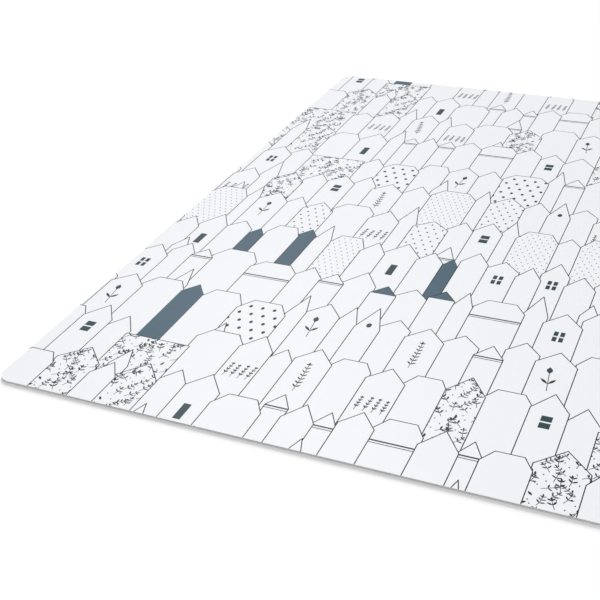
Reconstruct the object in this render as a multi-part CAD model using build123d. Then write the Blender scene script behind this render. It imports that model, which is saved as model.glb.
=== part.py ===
from build123d import *
import os

# A flat chair mat: six sheets of vinyl bonded face to face and cut to one outline.
# Lengths are millimetres. X is the mat's width, Y its length and Z is up.
# The origin is the middle of the underside, so the mat stands on Z = 0.

# Driving dimensions of the outline
MAT_WIDTH = 900.0
MAT_LENGTH = 1200.0
CORNER_RADIUS = 20.0

# Sheet thicknesses
BACKING_THICKNESS = 0.50
LOWER_CORE_THICKNESS = 0.35
FLEECE_THICKNESS = 0.20
UPPER_CORE_THICKNESS = 0.45
PRINT_FILM_THICKNESS = 0.15
WEAR_FILM_THICKNESS = 0.15

# The cut rounds over the top edge of the wear film a little.
TOP_EDGE_RADIUS = 0.06

# The stack, from the floor up: node name and thickness
STACK = [
    ("anti_slip_backing", BACKING_THICKNESS),
    ("lower_core", LOWER_CORE_THICKNESS),
    ("glass_fleece", FLEECE_THICKNESS),
    ("upper_core", UPPER_CORE_THICKNESS),
    ("print_film", PRINT_FILM_THICKNESS),
    ("wear_film", WEAR_FILM_THICKNESS),
]


def cut_sheet(underside_height, thickness):
    """One sheet of the laminate, cut to the mat's outline."""
    outline = RectangleRounded(MAT_WIDTH, MAT_LENGTH, CORNER_RADIUS)
    return extrude(Pos(0, 0, underside_height) * outline, amount=thickness)


def rounded_over(sheet):
    """The same sheet with the edge of its upper face rounded over."""
    top_face = sheet.faces().sort_by(Axis.Z)[-1]
    return fillet(top_face.edges(), TOP_EDGE_RADIUS)


def build_stack():
    """Every sheet by node name, each standing on the one below it."""
    sheets = {}
    height = 0.0
    for name, thickness in STACK:
        sheets[name] = cut_sheet(height, thickness)
        height += thickness
    sheets["wear_film"] = rounded_over(sheets["wear_film"])
    return sheets


os.makedirs("parts", exist_ok=True)
for name, sheet in build_stack().items():
    sheet.label = name
    export_step(sheet, f"parts/{name}.step")
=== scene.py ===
import math
import random

import bpy
from bpy.props import FloatProperty, FloatVectorProperty, IntProperty, PointerProperty
from mathutils import Matrix, Vector
from mathutils.geometry import delaunay_2d_cdt


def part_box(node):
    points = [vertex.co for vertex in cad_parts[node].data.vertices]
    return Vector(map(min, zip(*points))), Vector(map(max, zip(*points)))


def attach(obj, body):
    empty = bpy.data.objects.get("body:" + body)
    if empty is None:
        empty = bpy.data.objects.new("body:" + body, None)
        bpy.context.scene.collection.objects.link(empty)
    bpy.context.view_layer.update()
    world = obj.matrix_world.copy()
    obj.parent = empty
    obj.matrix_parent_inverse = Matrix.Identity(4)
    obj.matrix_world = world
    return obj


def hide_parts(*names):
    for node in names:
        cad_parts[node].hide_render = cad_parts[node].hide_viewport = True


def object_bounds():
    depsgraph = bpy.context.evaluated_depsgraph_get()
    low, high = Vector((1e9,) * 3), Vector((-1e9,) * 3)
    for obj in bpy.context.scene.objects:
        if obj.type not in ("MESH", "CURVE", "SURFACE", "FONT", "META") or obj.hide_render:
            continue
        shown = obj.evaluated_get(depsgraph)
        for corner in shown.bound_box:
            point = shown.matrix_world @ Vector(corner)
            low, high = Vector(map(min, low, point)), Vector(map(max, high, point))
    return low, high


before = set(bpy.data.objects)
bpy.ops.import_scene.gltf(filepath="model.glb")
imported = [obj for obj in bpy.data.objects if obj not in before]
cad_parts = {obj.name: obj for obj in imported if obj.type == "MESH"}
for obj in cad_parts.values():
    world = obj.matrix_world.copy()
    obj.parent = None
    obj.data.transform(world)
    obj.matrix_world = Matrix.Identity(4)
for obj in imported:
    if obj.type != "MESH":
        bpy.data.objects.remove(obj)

bl_info = {
    "name": "Printed chair mat",
    "version": (1, 0, 0),
    "blender": (4, 5, 0),
    "location": "3D View > Sidebar > Chair Mat",
    "description": "Builds the finish, the printed townscape and the anti-slip tread of a chair mat",
    "category": "Object",
}

CAD_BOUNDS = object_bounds()
MAT_LOW, MAT_HIGH = CAD_BOUNDS
MAT_WIDTH = MAT_HIGH.x - MAT_LOW.x
MAT_LENGTH = MAT_HIGH.y - MAT_LOW.y
MAT_TOP = MAT_HIGH.z
PRINT_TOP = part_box("print_film")[1].z
BACKING_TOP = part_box("anti_slip_backing")[1].z
CORNER_RADIUS = 0.020
CORNER_STEPS = 12           # straight pieces in each rounded corner of the outline
EDGE_STEPS = 4              # faces across the film's rounded upper edge
FLOOR_DROP = 0.0001         # how far the floor lies below the mat
LEAST_GAP = 0.000003        # corners of the ink that are closer than this become one
LEAF_POINT = 1.45           # how far a leaf's tips are drawn out of a circle
CORNER_ZONE = 1.8           # the zone where the tread's edge follows the corner, in radii
CORNER_CUTS = 5             # how often each edge of the tread is cut in that zone
EDGE_REACH = 0.00001        # a corner of the mesh this close to the mat's edge lies on it
GRAIN_DEPTH = 0.0002        # how deep the satin grain is
MM = 0.001

# How each sheet and ink looks: how much its tone drifts and at what scale, the scale of its
# grain and how far that stands out, its roughness and how much that varies, and its shine
LOOKS = {
    "core_vinyl": (0.10, 60.0, 1400.0, 0.25, 0.6, 0.15, 0.5),
    "glass_fleece": (0.30, 900.0, 2200.0, 0.4, 0.75, 0.2, 0.5),
    "print_white": (0.035, 3.0, 1100.0, 0.05, 0.5, 0.08, 0.0),
    "anti_slip_foam": (0.16, 14.0, 1600.0, 0.5, 0.85, 0.12, 0.5),
    "ink": (0.18, 260.0, 1100.0, 0.05, 0.5, 0.08, 0.0),
}


# --- Sizes and colours that a user would change ---

def length_setting(name, description, default):
    """A length, shown in the scene's units."""
    return FloatProperty(name=name, description=description, default=default, unit="LENGTH",
                         subtype="DISTANCE")


def angle_setting(name, description, degrees):
    """An angle."""
    return FloatProperty(name=name, description=description, default=math.radians(degrees),
                         unit="ROTATION", subtype="ANGLE")


def share_setting(name, description, default, least=0.0):
    """A share of a whole."""
    return FloatProperty(name=name, description=description, default=default, min=least, max=1.0,
                         subtype="FACTOR")


def strength_setting(name, description, default):
    """The strength of a light."""
    return FloatProperty(name=name, description=description, default=default, min=0.0)


def colour_setting(name, description, default):
    """A colour."""
    return FloatVectorProperty(name=name, description=description, default=default, size=3,
                               min=0.0, max=1.0, subtype="COLOR")


class PrintSizes(bpy.types.PropertyGroup):
    """The printed townscape."""
    repeat_width: length_setting("Repeat width", "Width of one repeat of the print", 0.610)
    street_pitch: length_setting(
        "Street pitch", "Distance from one row of houses to the next", 0.1033)
    line_width: length_setting("Line width", "Width of the printed outlines", 0.00125)
    stem_width: length_setting("Stem width", "Width of the stems of the printed plants", 0.0008)
    ink_height: length_setting("Ink height", "How far the ink stands above the print film", 0.00004)
    seed: IntProperty(
        name="Seed", description="Seed of the streets and plants", default=28)


class TreadSizes(bpy.types.PropertyGroup):
    """The embossed underside."""
    cell_pitch: length_setting("Cell pitch", "Distance from one embossed cell to the next", 0.0105)
    rib_width: length_setting("Rib width", "Width of the ribs that stand on the floor", 0.0026)
    wall_run: length_setting("Wall run", "How far a cell's sloping wall runs", 0.0005)
    cell_depth: length_setting("Cell depth", "Depth of the embossed cells", 0.00034)
    plain_border: length_setting(
        "Plain border", "Least width of the plain band round the cells", 0.012)


class FilmSizes(bpy.types.PropertyGroup):
    """The clear wear film."""
    bond_gap: length_setting("Bond gap", "Thickness of the clear bond under the film", 0.000005)
    edge_radius: length_setting("Edge radius", "Radius of the film's upper edge", 0.00008)
    roughness: share_setting("Roughness", "Roughness of the clear film", 0.36)
    sheen: share_setting(
        "Sheen", "Share of a clear film's mirror shine that the satin film keeps", 0.30)


class MatColours(bpy.types.PropertyGroup):
    """Colours of the sheets and inks."""
    white: colour_setting("White", "White of the print film", (0.843, 0.853, 0.881))
    charcoal_ink: colour_setting(
        "Charcoal ink", "Ink of the outlines, dots and bands", (0.027, 0.032, 0.036))
    leaf_ink: colour_setting("Leaf ink", "Ink of the leaves and stems", (0.026, 0.038, 0.042))
    slate_ink: colour_setting(
        "Slate ink", "Ink of the filled houses and roofs", (0.062, 0.112, 0.153))
    deep_slate_ink: colour_setting(
        "Deep slate ink", "Ink of the windows and flowers", (0.028, 0.055, 0.070))
    core: colour_setting("Core vinyl", "Colour of the core's cut edge", (0.72, 0.73, 0.73))
    fleece: colour_setting("Glass fleece", "Colour of the soaked glass fleece", (0.62, 0.64, 0.62))
    backing: colour_setting("Backing foam", "Colour of the anti-slip foam", (0.50, 0.51, 0.515))


class StageSizes(bpy.types.PropertyGroup):
    """The floor, lights and camera."""
    floor_size: length_setting("Floor size", "Side of the square floor", 30.0)
    sky_strength: strength_setting("Sky strength", "Brightness of the white surroundings", 0.25)
    key_strength: strength_setting("Key strength", "Strength of the key light", 1.2)
    key_height: angle_setting("Key height", "Height of the key light above the floor", 42.0)
    key_turn: angle_setting(
        "Light turn", "How far to the left of the long side the lights stand", 27.0)
    low_strength: strength_setting(
        "Low light strength", "Strength of the light behind the mat", 7.6)
    fill_strength: strength_setting(
        "Fill strength", "Strength of the fill light in front of the mat", 0.8)
    under_strength: strength_setting(
        "Under strength", "Strength of the light that shows the underside", 3.0)
    low_height: angle_setting("Low light height", "Height of the light behind the mat", 11.0)
    lens: FloatProperty(
        name="Lens", description="Focal length of the camera in millimetres", default=64.8,
        unit="CAMERA")
    camera_distance: length_setting(
        "Camera distance", "Distance from the camera to the point it aims at", 1.4776)
    camera_turn: angle_setting(
        "Camera turn", "How far the camera looks to the left of the long side", 24.54)
    camera_tilt: angle_setting("Camera tilt", "How steeply the camera looks down", 30.28)
    camera_roll: angle_setting("Camera roll", "How far the camera leans to its right", 2.455)
    aim_across: share_setting(
        "Aim across", "Aim point as a share of the mat's width from its middle", -0.1871, -1.0)
    aim_along: share_setting(
        "Aim along", "Aim point as a share of the mat's length from its middle", -0.2468, -1.0)


class ChairMatSettings(bpy.types.PropertyGroup):
    """Everything that a user would change."""
    print_sizes: PointerProperty(name="Print", description="The printed townscape", type=PrintSizes)
    tread: PointerProperty(name="Tread", description="The embossed underside", type=TreadSizes)
    film: PointerProperty(name="Film", description="The clear wear film", type=FilmSizes)
    colours: PointerProperty(name="Colours", description="Sheets and inks", type=MatColours)
    stage: PointerProperty(name="Stage", description="Floor, lights and camera", type=StageSizes)


# --- The print's layout, in millimetres from the near left corner of one repeat ---

# The print is a generic town that is drawn by chance. The kinds of plain house:
# (roof, least width, most width, least rise, most rise, what fills it)
PLAIN_KINDS = [
    ("gable", 38, 54, 24, 38, "plain"),
    ("gable", 34, 46, 22, 34, "plain"),
    ("gable", 25, 30, 44, 60, "plain"),
    ("clipped", 54, 72, 18, 28, "plain"),
]

# The other kinds of house, each with how often it is dealt:
FILLED_KINDS = [
    (4, ("gable", 26, 34, 20, 28, "slate")),
    (2, ("gable", 30, 36, 22, 28, "slate_roof")),
    (3, ("clipped", 62, 80, 18, 26, "bold_dots")),
    (3, ("gable", 48, 58, 24, 32, "mid_dots")),
    (4, ("clipped", 60, 76, 20, 30, "fine_dots")),
    (6, ("gable", 28, 36, 22, 28, "eaves_band")),
    (3, ("clipped", 60, 72, 18, 24, "low_band")),
    (4, ("gable", 44, 54, 26, 34, "herbs")),
    (4, ("gable", 46, 66, 26, 36, "foliage")),
    (2, ("flat", 90, 130, 0, 0, "foliage")),
    (4, ("gable", 38, 58, 26, 38, "four_panes")),
    (3, ("gable", 40, 50, 26, 34, "two_panes")),
    (3, ("gable", 44, 58, 28, 44, "door")),
    (2, ("gable", 30, 36, 44, 56, "round_window")),
    (4, ("gable", 42, 52, 26, 32, "flower")),
    (3, ("gable", 46, 54, 26, 34, "branch_up")),
]

# How each filling is drawn, and its sizes. A drop is measured down from the eaves.
FILLINGS = {
    "plain": ("plain", {}),
    "slate": ("plain", {}),
    "slate_roof": ("slate_roof", {}),
    "bold_dots": ("dot_grid", {"diameter": 4.8, "across": 17.5, "along": 37.0}),
    "mid_dots": ("dot_grid", {"diameter": 2.8, "across": 13.5, "along": 27.0}),
    "fine_dots": ("dot_grid", {"diameter": 1.7, "across": 9.8, "along": 20.0}),
    "eaves_band": ("band", {"drop": 1.0}),
    "low_band": ("band", {"drop": 22.0}),
    "four_panes": ("panes", {"across": 14.0, "height": 24.0, "columns": 2, "rows": 2, "drop": 40.0}),
    "two_panes": ("panes", {"across": 13.0, "height": 24.0, "columns": 1, "rows": 2, "drop": 36.0}),
    "door": ("panes", {"across": 10.0, "height": 31.0, "columns": 1, "rows": 1, "drop": 62.0}),
    "round_window": ("round_window", {"across": 7.2, "height": 10.8, "rise": 8.0}),
    "flower": ("flower", {"drop": 58, "tall": 36.0, "fork": 14.0, "size": 15.0}),
    "branch_up": ("branch_up", {"drop": 66, "tall": 56.0}),
    "herbs": ("herbs", {"drop": 66, "count": 4}),
    "foliage": ("foliage", {"drop": 96, "pitch": 17.0}),
}

# A narrow house that looks over each street: its least and most width, eaves and rise
PEAK_WIDTHS = (25, 31)
PEAK_EAVES = (18, 32)
PEAK_RISES = (28, 50)
PEAK_FILLINGS = ["plain", "plain", "eaves_band"]
PEAK_ROOM = 30          # it starts at least this far from the end of the repeat

STREET_COUNT = 10
STREET_SLACK = 15       # a street is full when less than this is left of the repeat
LEAST_EAVES = -8.0
MOST_EAVES = 22.0
FIRST_LEVEL = 52.0      # height of the nearest street's eaves above the mat's near edge
SIDE_START = -35.0      # where the first repeat starts, from the mat's left edge
HIDDEN_WALL = 190.0     # how far a house's walls run down behind the streets in front
SIDE_OVERLAP = 1.5      # how far neighbouring houses reach over each other
DOT_STRETCH = 1.4       # the dots are longer than they are wide
LEAST_AREA = 0.02       # smaller scraps of a shape aren't printed, in square millimetres
INK_MARGIN = 0.15       # the ink stops this far inside the cut edge
STROKE_REACH = 0.35     # how far a stroke runs past its ends, as a share of its width
CLIP_SHARE = 0.22       # how far a clipped roof's slopes run in, as a share of the width
DOT_DEPTH = 1.2         # how far below the eaves the dots run, in streets
FIRST_DOTS = 0.45       # where the first row of dots lies, in rows below the roof's top
BAND_LINES = ((0.0, 2.4), (4.4, 1.2))   # how low each line of a band lies, and its width
PANE_GAP = 2.8          # width of the bars between the panes of a window
SMALL_LEAF_WIDTH = 3.0  # narrower leaves are drawn with fewer corners
LAYERS = ("house_outlines", "slate_houses", "window_panes", "printed_dots",
          "eaves_bands", "leaf_sprigs", "flower_buds")


def area_of(shape):
    """The area of a closed outline, positive if it runs counter-clockwise."""
    total = 0.0
    for (ax, ay), (bx, by) in zip(shape, shape[1:] + shape[:1]):
        total += ax * by - bx * ay
    return total / 2


def extent_of(shapes):
    """Lowest and highest X and Y of several outlines."""
    across = [x for shape in shapes for x, y in shape]
    along = [y for shape in shapes for x, y in shape]
    return min(across), min(along), max(across), max(along)


def apart(first, second):
    """True if two extents have no point in common."""
    return (first[2] <= second[0] or second[2] <= first[0]
            or first[3] <= second[1] or second[3] <= first[1])


def cut(shape, start, end):
    """A convex shape cut by the line from start to end: the part left of it and the rest."""
    run_x = end[0] - start[0]
    run_y = end[1] - start[1]
    sides = [run_x * (y - start[1]) - run_y * (x - start[0]) for x, y in shape]
    left, right = [], []
    for i, point in enumerate(shape):
        following = (i + 1) % len(shape)
        if sides[i] >= 0:
            left.append(point)
        if sides[i] <= 0:
            right.append(point)
        if sides[i] * sides[following] < 0:
            share = sides[i] / (sides[i] - sides[following])
            beyond = shape[following]
            crossing = (point[0] + (beyond[0] - point[0]) * share,
                        point[1] + (beyond[1] - point[1]) * share)
            left.append(crossing)
            right.append(crossing)
    return [part if len(part) > 2 and area_of(part) > LEAST_AREA / 10 else []
            for part in (left, right)]


def inside_of(shape, fence):
    """The part of a convex shape that lies inside a convex fence."""
    for start, end in zip(fence, fence[1:] + fence[:1]):
        shape = cut(shape, start, end)[0]
        if not shape:
            return []
    return shape


def outside_of(shape, fence):
    """The convex parts of a convex shape that lie outside a convex fence."""
    parts, rest = [], shape
    for start, end in zip(fence, fence[1:] + fence[:1]):
        rest, beyond = cut(rest, start, end)
        if beyond:
            parts.append(beyond)
        if not rest:
            return [shape]
    return parts


def moved(shape, across, along):
    """A shape shifted by a distance across and along the mat."""
    return [(x + across, y + along) for x, y in shape]


def placed(outline, at, heading, length, width):
    """A motif stretched to a length and width, turned to a heading and put at a point."""
    ahead = (math.cos(heading), math.sin(heading))
    return [(at[0] + ahead[0] * x * length - ahead[1] * y * width,
             at[1] + ahead[1] * x * length + ahead[0] * y * width) for x, y in outline]


def bar(start, end, width):
    """A straight stroke, a little longer than its line so that corners close."""
    run = math.hypot(end[0] - start[0], end[1] - start[1])
    ahead = ((end[0] - start[0]) / run, (end[1] - start[1]) / run)
    reach = width * STROKE_REACH
    first = (start[0] - ahead[0] * reach, start[1] - ahead[1] * reach)
    last = (end[0] + ahead[0] * reach, end[1] + ahead[1] * reach)
    side = (-ahead[1] * width / 2, ahead[0] * width / 2)
    return [(first[0] - side[0], first[1] - side[1]), (last[0] - side[0], last[1] - side[1]),
            (last[0] + side[0], last[1] + side[1]), (first[0] + side[0], first[1] + side[1])]


def rectangle(left, low, width, height):
    """An upright rectangle."""
    return [(left, low), (left + width, low), (left + width, low + height), (left, low + height)]


def ahead_of(point, heading, distance):
    """The point at a distance from another along a heading."""
    return (point[0] + math.cos(heading) * distance, point[1] + math.sin(heading) * distance)


class House:
    """One printed house: its convex silhouette parts and the marks drawn in it."""

    def __init__(self, depth, left, level, roof, width, eaves, rise):
        self.depth = depth
        self.left = left
        self.right = left + width
        self.width = width
        self.eaves = level + eaves
        self.top = self.eaves + rise
        self.middle = left + width / 2
        self.foot = self.eaves - HIDDEN_WALL
        self.skyline = ROOFS[roof](self)
        wall = [(self.left, self.foot), (self.right, self.foot)]
        self.parts = [wall + self.skyline[::-1]]
        self.marks = []

    def add(self, layer, shape):
        """Draws a shape in the house, cut off at its silhouette."""
        for part in self.parts:
            kept = inside_of(shape, part)
            if kept:
                self.marks.append((layer, kept))

    def outline(self, width):
        """Draws the walls and the skyline."""
        walls = [(self.left, self.foot)] + self.skyline + [(self.right, self.foot)]
        for start, end in zip(walls, walls[1:]):
            self.marks.append(("house_outlines", bar(start, end, width)))

    def copy_at(self, across, along, nearer):
        """The same house in another repeat, which stands nearer or further."""
        twin = object.__new__(House)
        twin.depth = self.depth + nearer
        twin.parts = [moved(part, across, along) for part in self.parts]
        twin.marks = [(layer, moved(shape, across, along)) for layer, shape in self.marks]
        return twin


def gable(house):
    """A pointed skyline."""
    return [(house.left, house.eaves), (house.middle, house.top), (house.right, house.eaves)]


def clipped(house):
    """A skyline with a flat top between two slopes."""
    inset = house.width * CLIP_SHARE
    return [(house.left, house.eaves), (house.left + inset, house.top),
            (house.right - inset, house.top), (house.right, house.eaves)]


def flat(house):
    """A level skyline."""
    return [(house.left, house.eaves), (house.right, house.eaves)]


ROOFS = {"gable": gable, "clipped": clipped, "flat": flat}


class Townscape:
    """Lays out the houses of one repeat and everything drawn in them."""

    def __init__(self, sizes, motifs):
        self.motifs = motifs
        self.line = sizes.line_width / MM
        self.stem = sizes.stem_width / MM
        self.pitch = sizes.street_pitch / MM
        self.repeat = sizes.repeat_width / MM
        self.dice = random.Random(sizes.seed)
        self.houses = []
        deck = [kind for count, kind in FILLED_KINDS for i in range(count)]
        self.dice.shuffle(deck)
        for street in range(STREET_COUNT):
            self.build_street(street, self.draw_street(deck))
            self.build_peak(street)

    def draw_street(self, deck):
        """Draws the houses of one street: every other one is plain, and they fill the repeat."""
        row = []
        reach = 0.0
        plain_turn = self.dice.randrange(2)
        while reach < self.repeat - STREET_SLACK or len(row) % 2:
            if len(row) % 2 == plain_turn:
                kind = self.dice.choice(PLAIN_KINDS)
            else:
                kind = deck.pop(0)
                deck.append(kind)
            roof, least_width, most_width, least_rise, most_rise, filling = kind
            width = self.dice.uniform(least_width, most_width)
            eaves = self.dice.uniform(LEAST_EAVES, MOST_EAVES)
            rise = self.dice.uniform(least_rise, most_rise)
            row.append((roof, width, eaves, rise, filling))
            reach += width
        stretch = self.repeat / reach
        return [(roof, width * stretch, eaves, rise, filling)
                for roof, width, eaves, rise, filling in row]

    def build_street(self, street, row):
        """A row of houses side by side; every other one stands in front of its neighbours."""
        left = 0.0
        for place, (roof, width, eaves, rise, filling) in enumerate(row):
            nearness = 0.2 if place % 2 else 0.1
            self.build_house(street - nearness - 0.001 * place, left - SIDE_OVERLAP,
                             FIRST_LEVEL + street * self.pitch, roof,
                             width + 2 * SIDE_OVERLAP, eaves, rise, filling)
            left += width

    def build_peak(self, street):
        """A narrow house that looks over the roofs of its street."""
        self.build_house(street + 0.5, self.dice.uniform(0, self.repeat - PEAK_ROOM),
                         FIRST_LEVEL + street * self.pitch, "gable",
                         self.dice.uniform(*PEAK_WIDTHS), self.dice.uniform(*PEAK_EAVES),
                         self.dice.uniform(*PEAK_RISES), self.dice.choice(PEAK_FILLINGS))

    def build_house(self, depth, left, level, roof, width, eaves, rise, filling):
        """One house with its outline and filling."""
        house = House(depth, left, level, roof, width, eaves, rise)
        if filling == "slate":
            house.marks += [("slate_houses", part) for part in house.parts]
        else:
            house.outline(self.line)
        way, sizes = FILLINGS[filling]
        getattr(self, way)(house, **sizes)
        self.houses.append(house)

    # --- fillings: each draws in one house ---

    def plain(self, house):
        """Draws nothing more."""

    def dot_grid(self, house, diameter, across, along):
        """Staggered dots over the whole house."""
        line = 0
        low = max(house.foot, house.eaves - DOT_DEPTH * self.pitch)
        y = house.top - along * FIRST_DOTS
        while y > low:
            x = house.left + across * (0.5 if line % 2 else 0.0)
            while x < house.right + diameter:
                house.add("printed_dots",
                          placed(self.motifs["dot"], (x, y), 0.0, diameter, DOT_STRETCH * diameter))
                x += across
            y -= along / 2
            line += 1

    def band(self, house, drop):
        """A thick line across the house with a thin one under it."""
        height = house.eaves - drop
        for lower, width in BAND_LINES:
            house.add("eaves_bands", bar((house.left, height - lower),
                                         (house.right, height - lower), width))

    def panes(self, house, across, height, columns, rows, drop):
        """A window of slate panes, or a door."""
        width = (across - PANE_GAP * (columns - 1)) / columns
        tall = (height - PANE_GAP * (rows - 1)) / rows
        for column in range(columns):
            for row in range(rows):
                x = house.middle - across / 2 + column * (width + PANE_GAP)
                y = house.eaves - drop + row * (tall + PANE_GAP)
                house.add("window_panes", rectangle(x, y, width, tall))

    def round_window(self, house, across, height, rise):
        """A round window in the gable."""
        at = (house.middle, house.eaves + rise)
        house.add("window_panes", placed(self.motifs["dot"], at, 0.0, across, height))

    def slate_roof(self, house):
        """A gable filled with slate."""
        house.add("slate_houses", [(house.left, house.eaves), (house.right, house.eaves),
                                   (house.middle, house.top)])

    def leaf(self, house, root, heading, length, width):
        """One leaf from its root."""
        shape = self.motifs["small_leaf" if width < SMALL_LEAF_WIDTH else "leaf"]
        house.add("leaf_sprigs", placed(shape, root, heading, length, width))

    def sprig(self, house, root, heading, length, pairs, leaf_length, leaf_width,
              spread=0.75, bend=0.0, shrink=0.5):
        """A stem with pairs of leaves that get smaller towards the tip."""
        step = length / pairs
        for i in range(pairs):
            tip = ahead_of(root, heading, step)
            house.add("leaf_sprigs", bar(root, tip, self.stem))
            size = 1 - shrink * i / pairs
            for side in (-1, 1):
                self.leaf(house, tip, heading + side * spread, leaf_length * size,
                          leaf_width * size)
            root = tip
            heading += bend / pairs
        self.leaf(house, root, heading, leaf_length * 0.9, leaf_width)

    def fern(self, house, root, heading, length, bend):
        """A dense sprig of short narrow leaves."""
        self.sprig(house, root, heading, length, int(length / 4.8), 6.6, 2.1, spread=1.0,
                   bend=bend)

    def branch(self, house, root, heading, length, bend):
        """An open sprig of larger leaves."""
        self.sprig(house, root, heading, length, max(2, int(length / 8)), 7.6, 2.6,
                   spread=0.8, bend=bend, shrink=0.3)

    def flower(self, house, drop, tall, fork, size):
        """One upright flower: a stem with a pair of leaves and a plain pointed bud."""
        foot = (house.middle, house.eaves - drop)
        heading = math.radians(self.dice.uniform(82, 98))
        leaves = ahead_of(foot, heading, fork)
        tip = ahead_of(foot, heading, tall)
        house.add("leaf_sprigs", bar(foot, tip, self.stem * 1.2))
        for side in (-1, 1):
            self.leaf(house, leaves, heading + side * 0.7, size, 4.0)
        house.add("flower_buds", placed(self.motifs["leaf"], tip, heading, size, size * 0.5))

    def branch_up(self, house, drop, tall):
        """One tall open branch."""
        foot = (house.middle, house.eaves - drop)
        self.branch(house, foot, math.radians(self.dice.uniform(84, 96)), tall, 0.1)

    def herbs(self, house, drop, count):
        """A row of small upright sprigs."""
        for i in range(count):
            root = (house.left + house.width * (i + 0.8) / (count + 0.6), house.eaves - drop)
            tall = 23.0 + 5.0 * self.dice.random()
            heading = math.radians(86 + 6 * (self.dice.random() - 0.5))
            self.sprig(house, root, heading, tall, 4, 5.8, 2.0, spread=0.55, shrink=0.3)

    def foliage(self, house, drop, pitch):
        """Sprigs at random headings on a loose grid, with specks between them."""
        y = house.eaves - drop
        stagger = 0.1
        while y < house.top:
            x = house.left + pitch * stagger
            stagger = 0.7 - stagger
            while x < house.right:
                at = (x + pitch * 0.2 * (self.dice.random() - 0.5),
                      y + pitch * 0.2 * (self.dice.random() - 0.5))
                self.sprout(house, at, pitch)
                x += pitch
            y += pitch * 0.85

    def sprout(self, house, at, pitch):
        """A fern, a branch or a single leaf at a random heading, and a speck beside it."""
        heading = math.radians(90 + 130 * (self.dice.random() - 0.5))
        kind = self.dice.random()
        length = pitch * (0.72 + 0.2 * self.dice.random())
        bend = 0.9 * (self.dice.random() - 0.5)
        if kind < 0.6:
            self.fern(house, at, heading, length, bend)
        elif kind < 0.85:
            self.branch(house, at, heading, length, bend)
        else:
            self.leaf(house, at, heading, length * 0.6, 3.2)
        speck = ahead_of(at, heading + 1.9, pitch * 0.45)
        house.add("printed_dots", placed(self.motifs["dot"], speck, 0.0, 1.6, 2.1))


def mat_outline(margin, scale):
    """The mat's rounded outline, drawn in by a margin, counter-clockwise from the near right."""
    radius = CORNER_RADIUS - margin
    corners = []
    for sign_x, sign_y, first in ((1, -1, -90), (1, 1, 0), (-1, 1, 90), (-1, -1, 180)):
        centre_x = sign_x * (MAT_WIDTH / 2 - CORNER_RADIUS)
        centre_y = sign_y * (MAT_LENGTH / 2 - CORNER_RADIUS)
        for step in range(CORNER_STEPS + 1):
            turn = math.radians(first + 90 * step / CORNER_STEPS)
            corners.append(((centre_x + radius * math.cos(turn)) / scale,
                            (centre_y + radius * math.sin(turn)) / scale))
    return corners


def print_layout(sizes, motifs):
    """Every visible mark of the whole mat by layer, in millimetres from the mat's middle."""
    town = Townscape(sizes, motifs)
    sheet = mat_outline(INK_MARGIN * MM, MM)
    sheet_extent = extent_of([sheet])
    repeat_width = sizes.repeat_width / MM
    repeat_length = town.pitch * STREET_COUNT
    origin_x = SIDE_START - MAT_WIDTH / MM / 2
    origin_y = -MAT_LENGTH / MM / 2
    houses = []
    for far in range(-1, int(MAT_LENGTH / MM / repeat_length) + 2):
        for across in range(-1, int(MAT_WIDTH / MM / repeat_width) + 2):
            for house in town.houses:
                twin = house.copy_at(origin_x + across * repeat_width,
                                     origin_y + far * repeat_length, far * STREET_COUNT)
                twin.extent = extent_of(twin.parts)
                if not apart(twin.extent, sheet_extent):
                    houses.append(twin)
    layers = {name: [] for name in LAYERS}
    for house in houses:
        fences = [(part, extent_of([part])) for other in houses
                  if other.depth < house.depth and not apart(other.extent, house.extent)
                  for part in other.parts]
        for layer, mark in house.marks:
            layers[layer] += visible_parts(mark, fences, sheet)
    return layers


def visible_parts(mark, fences, sheet):
    """What is left of a mark on the sheet outside every fence in front of it."""
    mark = inside_of(mark, sheet)
    shapes = [mark] if mark else []
    for fence, fence_extent in fences:
        if not shapes:
            break
        left_over = []
        for shape in shapes:
            if apart(extent_of([shape]), fence_extent):
                left_over.append(shape)
            else:
                left_over += outside_of(shape, fence)
        shapes = left_over
    return [shape for shape in shapes if area_of(shape) > LEAST_AREA]


# --- Modelling helpers ---

def start_clean():
    """Leaves edit mode and deselects everything."""
    if bpy.context.object and bpy.context.object.mode != "OBJECT":
        bpy.ops.object.mode_set(mode="OBJECT")
    bpy.ops.object.select_all(action="DESELECT")


def name_new_piece(name):
    """Names the object that an operator has just added."""
    piece = bpy.context.active_object
    piece.name = name
    piece.data.name = name
    return piece


def pick(piece, choose_vertices):
    """In edit mode, selects the vertices for which a test on their place is true."""
    bpy.ops.mesh.select_all(action="DESELECT")
    bpy.ops.object.mode_set(mode="OBJECT")
    for vertex in piece.data.vertices:
        vertex.select = choose_vertices(vertex.co)
    bpy.ops.object.mode_set(mode="EDIT")


def settle(piece):
    """Puts a piece's place, turn and scale into its mesh."""
    bpy.ops.object.select_all(action="DESELECT")
    piece.select_set(True)
    bpy.context.view_layer.objects.active = piece
    bpy.ops.object.transform_apply(location=True, rotation=True, scale=True)


def apply_modifier(piece, kind, **values):
    """Adds a modifier with the given values and applies it."""
    bpy.context.view_layer.objects.active = piece
    bpy.ops.object.modifier_add(type=kind)
    modifier = piece.modifiers[-1]
    for key, value in values.items():
        setattr(modifier, key, value)
    bpy.ops.object.modifier_apply(modifier=modifier.name)


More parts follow.
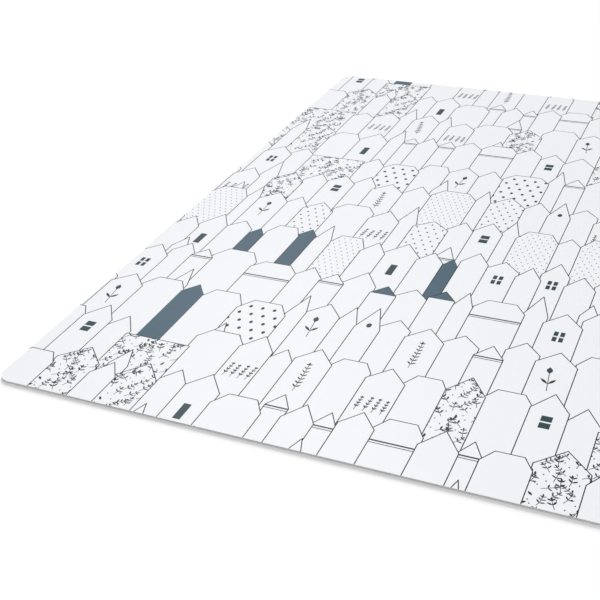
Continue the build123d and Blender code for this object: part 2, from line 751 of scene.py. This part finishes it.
def rounded_plate(name, low, high, edge_radius):
    """A plate with the mat's outline and a rounded upper edge."""
    start_clean()
    bpy.ops.mesh.primitive_plane_add(size=1.0, location=(0, 0, low))
    piece = name_new_piece(name)
    piece.scale = (MAT_WIDTH, MAT_LENGTH, 1)
    settle(piece)
    bpy.ops.object.mode_set(mode="EDIT")
    bpy.ops.mesh.select_mode(type="VERT")
    bpy.ops.mesh.select_all(action="SELECT")
    bpy.ops.mesh.bevel(offset=CORNER_RADIUS, segments=CORNER_STEPS, affect="VERTICES")
    bpy.ops.mesh.select_all(action="SELECT")
    bpy.ops.mesh.extrude_region_move(TRANSFORM_OT_translate={"value": (0, 0, high - low)})
    bpy.ops.mesh.bevel(offset=edge_radius, segments=EDGE_STEPS, affect="EDGES")
    bpy.ops.mesh.select_all(action="SELECT")
    bpy.ops.mesh.normals_make_consistent(inside=False)
    bpy.ops.object.mode_set(mode="OBJECT")
    return piece


def finish_piece(piece, material):
    """Gives a piece its material and its place on the mat."""
    piece.data.materials.clear()
    piece.data.materials.append(material)
    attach(piece, "root")


def motif_outline(name, corners, shape_in_edit_mode=None):
    """An outline modelled once with operators and read as a list of points."""
    start_clean()
    bpy.ops.mesh.primitive_circle_add(vertices=corners, radius=0.5, fill_type="NGON")
    piece = name_new_piece(name)
    if shape_in_edit_mode:
        bpy.ops.object.mode_set(mode="EDIT")
        bpy.ops.mesh.select_mode(type="VERT")
        shape_in_edit_mode(piece)
        bpy.ops.object.mode_set(mode="OBJECT")
    face = piece.data.polygons[0]
    points = [(piece.data.vertices[i].co.x, piece.data.vertices[i].co.y) for i in face.vertices]
    if area_of(points) < 0:
        points.reverse()
    bpy.data.objects.remove(piece)
    return points


def shape_leaf(piece):
    """Turns a circle into a leaf of unit length from its root, pointed at both ends."""
    pick(piece, lambda co: abs(co.y) < 0.01)
    bpy.ops.transform.resize(value=(LEAF_POINT, 1, 1))
    bpy.ops.mesh.select_all(action="SELECT")
    bpy.ops.transform.resize(value=(1 / LEAF_POINT, 1, 1))
    bpy.ops.transform.translate(value=(0.5, 0, 0))


def draw_motifs():
    """The outlines that the whole print is drawn with."""
    return {
        "dot": motif_outline("dot_motif", 14),
        "leaf": motif_outline("leaf_motif", 12, shape_leaf),
        "small_leaf": motif_outline("small_leaf_motif", 8, shape_leaf),
    }


def ink_piece(name, shapes, height):
    """Joins flat shapes into one clean sheet of ink and gives it its thickness."""
    corners, faces = [], []
    for shape in shapes:
        faces.append(range(len(corners), len(corners) + len(shape)))
        corners += [Vector(point) for point in shape]
    found = delaunay_2d_cdt(corners, [], [list(face) for face in faces], 1, 1e-5, True)
    points, triangles, owners = found[0], found[2], found[5]
    kept = [triangle for triangle, inside in zip(triangles, owners) if inside]
    mesh = bpy.data.meshes.new(name)
    mesh.from_pydata([(point.x * MM, point.y * MM, PRINT_TOP) for point in points], [], kept)
    piece = bpy.data.objects.new(name, mesh)
    bpy.context.collection.objects.link(piece)
    start_clean()
    piece.select_set(True)
    bpy.context.view_layer.objects.active = piece
    bpy.ops.object.mode_set(mode="EDIT")
    bpy.ops.mesh.select_all(action="SELECT")
    bpy.ops.mesh.delete_loose()
    bpy.ops.mesh.select_all(action="SELECT")
    bpy.ops.mesh.remove_doubles(threshold=LEAST_GAP)
    bpy.ops.mesh.dissolve_degenerate(threshold=LEAST_GAP)
    bpy.ops.object.mode_set(mode="OBJECT")
    apply_modifier(piece, "SOLIDIFY", thickness=height, offset=1.0)
    return piece


# --- Materials ---

def feed(tree, socket, source):
    """Links a socket to another node's output, or sets its value."""
    if isinstance(source, bpy.types.NodeSocket):
        tree.links.new(source, socket)
    else:
        socket.default_value = source


def add_node(tree, kind, **values):
    """A node with the given settings; a socket is given by its name, with a value or a link."""
    node = tree.nodes.new(kind)
    for key, value in values.items():
        if hasattr(node, key):
            setattr(node, key, value)
        else:
            feed(tree, node.inputs[key.replace("_", " ")], value)
    return node


def maths(tree, operation, first, second, **values):
    """The result of a sum with two values or links."""
    node = add_node(tree, "ShaderNodeMath", operation=operation, **values)
    feed(tree, node.inputs[0], first)
    feed(tree, node.inputs[1], second)
    return node.outputs[0]


def mixed(tree, share, first, second):
    """Two shaders mixed by a share."""
    node = add_node(tree, "ShaderNodeMixShader")
    for socket, source in zip(node.inputs, (share, first.outputs[0], second.outputs[0])):
        tree.links.new(source, socket)
    return node.outputs[0]


def group(name, inputs, outputs):
    """An empty shader group with named sockets."""
    tree = bpy.data.node_groups.new(name, "ShaderNodeTree")
    for label, kind, default in inputs:
        socket = tree.interface.new_socket(name=label, in_out="INPUT", socket_type=kind)
        socket.default_value = default
    for label, kind in outputs:
        tree.interface.new_socket(name=label, in_out="OUTPUT", socket_type=kind)
    return tree, tree.nodes.new("NodeGroupInput").outputs, tree.nodes.new("NodeGroupOutput").inputs


def tone_drift_group():
    """Slow, faint changes of tone, as in any large printed or calendered sheet."""
    tree, given, result = group(
        "tone_drift",
        [("Color", "NodeSocketColor", (0.8, 0.8, 0.8, 1)), ("Scale", "NodeSocketFloat", 4.0),
         ("Amount", "NodeSocketFloat", 0.03)],
        [("Color", "NodeSocketColor")])
    place = add_node(tree, "ShaderNodeTexCoord").outputs["Object"]
    cloud = add_node(tree, "ShaderNodeTexNoise", Vector=place, Scale=given["Scale"], Detail=4.0,
                     Roughness=0.6)
    centred = maths(tree, "SUBTRACT", cloud.outputs[0], 0.5)
    swing = maths(tree, "MULTIPLY", centred, given["Amount"])
    tinted = add_node(tree, "ShaderNodeVectorMath", operation="SCALE", Vector=given["Color"],
                      Scale=maths(tree, "ADD", swing, 1.0))
    feed(tree, result["Color"], tinted.outputs[0])


def satin_grain_group():
    """The fine pebble that an embossing roller leaves, as a height and a roughness."""
    tree, given, result = group(
        "satin_grain",
        [("Scale", "NodeSocketFloat", 900.0), ("Roughness", "NodeSocketFloat", 0.45),
         ("Spread", "NodeSocketFloat", 0.1)],
        [("Height", "NodeSocketFloat"), ("Roughness", "NodeSocketFloat")])
    place = add_node(tree, "ShaderNodeTexCoord").outputs["Object"]
    pebbles = add_node(tree, "ShaderNodeTexVoronoi", feature="SMOOTH_F1", Vector=place,
                       Scale=given["Scale"])
    haze = add_node(tree, "ShaderNodeTexNoise", Vector=place, Scale=7.0, Detail=5.0,
                    Roughness=0.65)
    centred = maths(tree, "SUBTRACT", haze.outputs[0], 0.5)
    swing = maths(tree, "MULTIPLY", centred, given["Spread"])
    feed(tree, result["Height"], pebbles.outputs["Distance"])
    feed(tree, result["Roughness"],
         maths(tree, "ADD", swing, given["Roughness"], use_clamp=True))


def new_material(name):
    """A material with only its output node."""
    material = bpy.data.materials.new(name)
    material.use_nodes = True
    tree = material.node_tree
    tree.nodes.clear()
    return material, tree, tree.nodes.new("ShaderNodeOutputMaterial").inputs["Surface"]


def grained(tree, scale, roughness, spread, bump):
    """The roughness and the normal of a surface with a satin grain."""
    satin = tree.nodes.new("ShaderNodeGroup")
    satin.node_tree = bpy.data.node_groups["satin_grain"]
    for key, value in (("Scale", scale), ("Roughness", roughness), ("Spread", spread)):
        feed(tree, satin.inputs[key], value)
    relief = add_node(tree, "ShaderNodeBump", Strength=bump, Distance=GRAIN_DEPTH,
                      Height=satin.outputs["Height"])
    return {"Roughness": satin.outputs["Roughness"], "Normal": relief.outputs["Normal"]}


def sheet_material(name, colour, look):
    """Vinyl or ink: a drifting tone, a satin grain and an even shine."""
    drift, drift_scale, grain, bump, roughness, spread, shine = LOOKS[look]
    material, tree, surface = new_material(name)
    tone = tree.nodes.new("ShaderNodeGroup")
    tone.node_tree = bpy.data.node_groups["tone_drift"]
    for key, value in (("Color", (*colour, 1)), ("Scale", drift_scale), ("Amount", drift)):
        feed(tree, tone.inputs[key], value)
    vinyl = add_node(tree, "ShaderNodeBsdfPrincipled", Specular_IOR_Level=shine,
                     Base_Color=tone.outputs["Color"],
                     **grained(tree, grain, roughness, spread, bump))
    feed(tree, surface, vinyl.outputs[0])
    return material


def clear_film_material(roughness, sheen):
    """A clear film: it lets the print through and only adds its satin reflection."""
    material, tree, surface = new_material("clear_wear_film")
    gloss = add_node(tree, "ShaderNodeBsdfAnisotropic",
                     **grained(tree, 1100.0, roughness, 0.10, 0.12))
    clear = add_node(tree, "ShaderNodeBsdfTransparent")
    edge_on = add_node(tree, "ShaderNodeFresnel", IOR=1.45)
    faces = add_node(tree, "ShaderNodeNewGeometry")
    front = maths(tree, "SUBTRACT", 1.0, faces.outputs["Backfacing"])
    satin_share = maths(tree, "MULTIPLY", front, sheen)
    share = maths(tree, "MULTIPLY", satin_share, edge_on.outputs[0])
    feed(tree, surface, mixed(tree, share, clear, gloss))
    return material


# --- Operators ---

class FinishSheets(bpy.types.Operator):
    """Give the sheets of the laminate their vinyl, film and fleece"""
    bl_idname = "chair_mat.finish_sheets"
    bl_label = "Finish the sheets"

    def execute(self, context):
        colours = context.scene.chair_mat.colours
        tone_drift_group()
        satin_grain_group()
        core = sheet_material("core_vinyl", colours.core, "core_vinyl")
        fleece = sheet_material("glass_fleece", colours.fleece, "glass_fleece")
        white = sheet_material("print_white", colours.white, "print_white")
        for node, material in (("lower_core", core), ("upper_core", core),
                               ("glass_fleece", fleece), ("print_film", white)):
            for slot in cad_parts[node].material_slots:
                slot.material = material
        return {"FINISHED"}


class AddWearFilm(bpy.types.Operator):
    """Lay the clear wear film over the print"""
    bl_idname = "chair_mat.add_wear_film"
    bl_label = "Add the wear film"

    def execute(self, context):
        sizes = context.scene.chair_mat.film
        film = rounded_plate("clear_wear_film", PRINT_TOP + sizes.bond_gap, MAT_TOP,
                             sizes.edge_radius)
        finish_piece(film, clear_film_material(sizes.roughness, sizes.sheen))
        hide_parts("wear_film")
        return {"FINISHED"}


class AddAntiSlipTread(bpy.types.Operator):
    """Emboss the foam backing with a waffle tread"""
    bl_idname = "chair_mat.add_anti_slip_tread"
    bl_label = "Add the anti-slip tread"

    def execute(self, context):
        sizes = context.scene.chair_mat.tread
        columns = int((MAT_WIDTH - 2 * sizes.plain_border) / sizes.cell_pitch)
        rows = int((MAT_LENGTH - 2 * sizes.plain_border) / sizes.cell_pitch)
        field = (columns * sizes.cell_pitch, rows * sizes.cell_pitch)
        start_clean()
        bpy.ops.mesh.primitive_grid_add(x_subdivisions=columns, y_subdivisions=rows, size=1.0)
        tread = name_new_piece("anti_slip_tread")
        tread.scale = (field[0], field[1], 1)
        settle(tread)
        bpy.ops.object.mode_set(mode="EDIT")
        self.emboss(sizes)
        self.add_border(tread, field)
        self.close_block()
        bpy.ops.object.mode_set(mode="OBJECT")
        foam = sheet_material("anti_slip_foam", context.scene.chair_mat.colours.backing,
                              "anti_slip_foam")
        finish_piece(tread, foam)
        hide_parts("anti_slip_backing")
        return {"FINISHED"}

    def emboss(self, sizes):
        """Presses every cell into the foam, with flat ribs left between the cells."""
        bpy.ops.mesh.select_mode(type="FACE")
        bpy.ops.mesh.select_all(action="SELECT")
        bpy.ops.mesh.inset(thickness=sizes.rib_width / 2, use_individual=True)
        bpy.ops.mesh.inset(thickness=sizes.wall_run, depth=sizes.cell_depth, use_individual=True)

    def add_border(self, tread, field):
        """Runs a plain band out to the mat's rounded outline."""
        bpy.ops.mesh.select_mode(type="EDGE")
        bpy.ops.mesh.select_all(action="DESELECT")
        bpy.ops.mesh.select_non_manifold()
        bpy.ops.mesh.extrude_edges_move()
        bpy.ops.transform.resize(value=(MAT_WIDTH / field[0], MAT_LENGTH / field[1], 1),
                                 center_override=(0, 0, 0))
        zone_x = MAT_WIDTH / 2 - CORNER_ZONE * CORNER_RADIUS
        zone_y = MAT_LENGTH / 2 - CORNER_ZONE * CORNER_RADIUS
        edge_x = MAT_WIDTH / 2 - EDGE_REACH
        edge_y = MAT_LENGTH / 2 - EDGE_REACH
        pick(tread, lambda co: abs(co.x) > zone_x and abs(co.y) > zone_y
             and (abs(co.x) > edge_x or abs(co.y) > edge_y))
        bpy.ops.mesh.subdivide(number_cuts=CORNER_CUTS)
        bpy.ops.object.mode_set(mode="OBJECT")
        for vertex in tread.data.vertices:
            self.pull_to_corner(vertex.co)
        bpy.ops.object.mode_set(mode="EDIT")

    @staticmethod
    def pull_to_corner(place):
        """Moves a point of the outer edge onto the corner's arc."""
        centre_x = math.copysign(MAT_WIDTH / 2 - CORNER_RADIUS, place.x)
        centre_y = math.copysign(MAT_LENGTH / 2 - CORNER_RADIUS, place.y)
        across = place.x - centre_x
        along = place.y - centre_y
        distance = math.hypot(across, along)
        beyond = across * centre_x > 0 and along * centre_y > 0
        if beyond and distance > CORNER_RADIUS:
            place.x = centre_x + across * CORNER_RADIUS / distance
            place.y = centre_y + along * CORNER_RADIUS / distance

    def close_block(self):
        """Raises the outer edge to the core and closes the top."""
        bpy.ops.mesh.select_mode(type="EDGE")
        bpy.ops.mesh.select_all(action="DESELECT")
        bpy.ops.mesh.select_non_manifold()
        bpy.ops.mesh.extrude_edges_move(TRANSFORM_OT_translate={"value": (0, 0, BACKING_TOP)})
        bpy.ops.mesh.edge_face_add()
        bpy.ops.mesh.select_all(action="SELECT")
        bpy.ops.mesh.normals_make_consistent(inside=False)


class InkOperator:
    """What the printing operators share: the layout and how a layer of ink is made."""
    layout = {}
    layer = ""
    slot = "ink_dark"
    ink_name = "charcoal_ink"

    def execute(self, context):
        settings = context.scene.chair_mat
        if not InkOperator.layout:
            InkOperator.layout = print_layout(settings.print_sizes, draw_motifs())
        piece = ink_piece(self.layer, InkOperator.layout[self.layer],
                          settings.print_sizes.ink_height)
        finish_piece(piece, self.ink(settings.colours))
        return {"FINISHED"}

    def ink(self, colours):
        """The layer's ink, made once and shared by the layers that use it."""
        if self.ink_name in bpy.data.materials:
            return bpy.data.materials[self.ink_name]
        return sheet_material(self.ink_name, getattr(colours, self.ink_name), "ink")


class PrintOutlines(InkOperator, bpy.types.Operator):
    """Print the outlines of the houses"""
    bl_idname = "chair_mat.print_outlines"
    bl_label = "Print the outlines"
    layer = "house_outlines"


class PrintDots(InkOperator, bpy.types.Operator):
    """Print the dotted houses and the specks between the plants"""
    bl_idname = "chair_mat.print_dots"
    bl_label = "Print the dots"
    layer = "printed_dots"


class PrintBands(InkOperator, bpy.types.Operator):
    """Print the bands under the roofs"""
    bl_idname = "chair_mat.print_bands"
    bl_label = "Print the bands"
    layer = "eaves_bands"


class PrintSprigs(InkOperator, bpy.types.Operator):
    """Print the stems, ferns and leaves"""
    bl_idname = "chair_mat.print_sprigs"
    bl_label = "Print the sprigs"
    layer = "leaf_sprigs"
    ink_name = "leaf_ink"


class PrintSlateHouses(InkOperator, bpy.types.Operator):
    """Print the houses and roofs filled with slate"""
    bl_idname = "chair_mat.print_slate_houses"
    bl_label = "Print the slate houses"
    layer = "slate_houses"
    slot = "ink_slate"
    ink_name = "slate_ink"


class PrintBuds(InkOperator, bpy.types.Operator):
    """Print the flower buds"""
    bl_idname = "chair_mat.print_buds"
    bl_label = "Print the buds"
    layer = "flower_buds"
    slot = "ink_slate"
    ink_name = "deep_slate_ink"


class PrintWindows(PrintBuds):
    """Print the windows and doors"""
    bl_idname = "chair_mat.print_windows"
    bl_label = "Print the windows"
    layer = "window_panes"


class SetStage(bpy.types.Operator):
    """Set the pale floor, the soft lights and the camera"""
    bl_idname = "chair_mat.set_stage"
    bl_label = "Set the stage"

    def execute(self, context):
        sizes = context.scene.chair_mat.stage
        self.add_floor(sizes)
        self.add_lights(context, sizes)
        self.add_camera(context, sizes)
        context.scene.view_settings.view_transform = "Standard"
        return {"FINISHED"}

    def add_floor(self, sizes):
        """A plain pale floor just under the mat, clear from below so that the tread shows."""
        start_clean()
        bpy.ops.mesh.primitive_plane_add(size=sizes.floor_size, location=(0, 0, -FLOOR_DROP))
        floor = name_new_piece("floor")
        settle(floor)
        material, tree, surface = new_material("pale_floor")
        pale = add_node(tree, "ShaderNodeBsdfDiffuse", Color=(0.95, 0.95, 0.95, 1))
        clear = add_node(tree, "ShaderNodeBsdfTransparent")
        faces = add_node(tree, "ShaderNodeNewGeometry")
        feed(tree, surface, mixed(tree, faces.outputs["Backfacing"], pale, clear))
        floor.data.materials.append(material)
        floor.visible_shadow = False

    def add_lights(self, context, sizes):
        """Dim surroundings that look white, and soft lights from above, behind and below."""
        world = bpy.data.worlds.new("white_surroundings")
        context.scene.world = world
        world.use_nodes = True
        tree = world.node_tree
        sky = tree.nodes["Background"]
        sky.inputs["Color"].default_value = (1, 1, 1, 1)
        sky.inputs["Strength"].default_value = sizes.sky_strength
        backdrop = add_node(tree, "ShaderNodeBackground", Color=(1, 1, 1, 1), Strength=1.0)
        path = add_node(tree, "ShaderNodeLightPath")
        feed(tree, tree.nodes["World Output"].inputs["Surface"],
             mixed(tree, path.outputs["Is Camera Ray"], sky, backdrop))
        self.soft_sun("key_light", sizes.key_strength, sizes.key_height, sizes.key_turn,
                      spread=math.radians(18))
        low_light = self.soft_sun("low_light", sizes.low_strength, sizes.low_height,
                                  sizes.key_turn, spread=math.radians(12))
        low_light.visible_glossy = False
        self.soft_sun("fill_light", sizes.fill_strength, height=math.radians(25),
                      turn=math.radians(160), spread=math.radians(40))
        self.soft_sun("under_light", sizes.under_strength, height=math.radians(-50),
                      turn=math.radians(-20), spread=math.radians(20))

    @staticmethod
    def soft_sun(name, strength, height, turn, spread):
        """A broad even light from a height above the floor and a turn to the left of +Y."""
        lamp = bpy.data.lights.new(name, "SUN")
        lamp.energy = strength
        lamp.angle = spread
        holder = bpy.data.objects.new(name, lamp)
        towards = Vector((-math.sin(turn) * math.cos(height), math.cos(turn) * math.cos(height),
                          math.sin(height)))
        holder.rotation_euler = towards.to_track_quat("Z", "Y").to_euler()
        bpy.context.collection.objects.link(holder)
        return holder

    def add_camera(self, context, sizes):
        """The camera, aimed at a point on the mat."""
        camera = bpy.data.objects.new("camera", bpy.data.cameras.new("camera"))
        camera.data.lens = sizes.lens
        camera.data.sensor_width = 36.0
        camera.data.clip_start = 0.05
        camera.data.clip_end = 100.0
        flat = math.cos(sizes.camera_tilt)
        ahead = Vector((-math.sin(sizes.camera_turn) * flat, math.cos(sizes.camera_turn) * flat,
                        -math.sin(sizes.camera_tilt)))
        aim = Vector((sizes.aim_across * MAT_WIDTH, sizes.aim_along * MAT_LENGTH, MAT_TOP))
        upright = ahead.to_track_quat("-Z", "Y").to_matrix().to_4x4()
        camera.matrix_world = (Matrix.Translation(aim - ahead * sizes.camera_distance) @ upright
                               @ Matrix.Rotation(-sizes.camera_roll, 4, "Z"))
        bpy.context.collection.objects.link(camera)
        context.scene.camera = camera


# --- Panel and registration ---

BUILD_ORDER = (SetStage, FinishSheets, AddWearFilm, AddAntiSlipTread, PrintOutlines,
               PrintSlateHouses, PrintWindows, PrintDots, PrintBands, PrintSprigs, PrintBuds)


class ChairMatPanel(bpy.types.Panel):
    """Lists the settings and the steps of the mat"""
    bl_idname = "VIEW3D_PT_chair_mat"
    bl_label = "Chair Mat"
    bl_space_type = "VIEW_3D"
    bl_region_type = "UI"
    bl_category = "Chair Mat"

    def draw(self, context):
        settings = context.scene.chair_mat
        for part in ("print_sizes", "tread", "film", "colours", "stage"):
            values = getattr(settings, part)
            column = self.layout.box().column()
            for key in values.__annotations__:
                column.prop(values, key)
        for step in BUILD_ORDER:
            self.layout.operator(step.bl_idname)


CLASSES = (PrintSizes, TreadSizes, FilmSizes, MatColours, StageSizes, ChairMatSettings,
           *BUILD_ORDER, ChairMatPanel)


def register():
    for each in CLASSES:
        bpy.utils.register_class(each)
    bpy.types.Scene.chair_mat = PointerProperty(type=ChairMatSettings)


def unregister():
    del bpy.types.Scene.chair_mat
    for each in reversed(CLASSES):
        bpy.utils.unregister_class(each)


def main():
    """Builds the whole mat."""
    register()
    for step in BUILD_ORDER:
        area, action = step.bl_idname.split(".")
        getattr(getattr(bpy.ops, area), action)()


if __name__ == "__main__":
    main()
